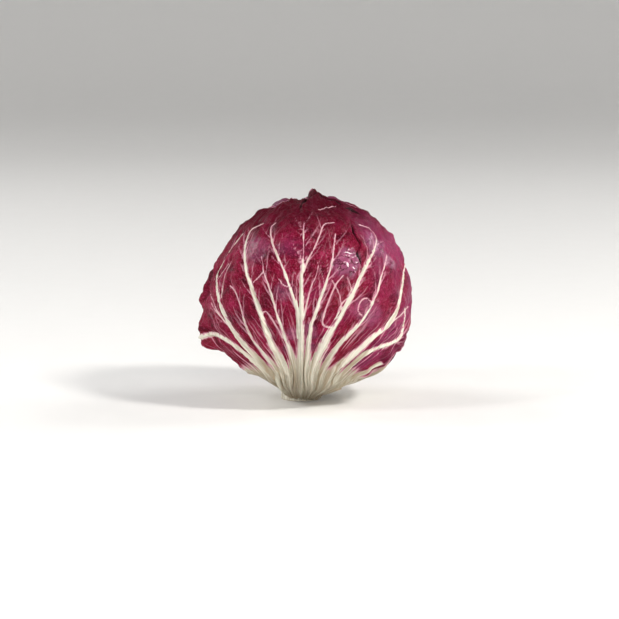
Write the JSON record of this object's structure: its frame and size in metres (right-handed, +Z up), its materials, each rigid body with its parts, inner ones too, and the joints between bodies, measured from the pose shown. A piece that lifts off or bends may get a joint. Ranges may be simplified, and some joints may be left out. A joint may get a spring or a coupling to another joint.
{
  "type": "radicchio head",
  "caption": "Round head of red radicchio leaves wrapped over a tight heart, standing on its trimmed stem",
  "frame": {"origin": "middle of the flat cut face under the stem, on which the head rests", "axes": "+Z up along the stem to the crown, -Y towards the front leaf's midrib, +X to the right of the front leaf"},
  "size_m": [0.1167, 0.1194, 0.1158],
  "materials": {
    "stem": "matte cut butt, pale cream with a browned fibrous face",
    "heart_leaf": "satin wine-red leaf with pale veins",
    "outer_leaf": "waxy satin wine-red leaf with a pale cream base, ribs and veins",
    "inner_leaf": "satin dark wine-red leaf with a pale cream base and ribs"
  },
  "bodies": {
    "root": {"stem": "stem", "heart": "heart_leaf", "leaf_front": "outer_leaf", "leaf_left": "outer_leaf", "leaf_right": "outer_leaf", "leaf_inner_left": "inner_leaf", "leaf_inner_right": "inner_leaf", "leaf_inner_back": "inner_leaf"}
  },
  "joints": []
}
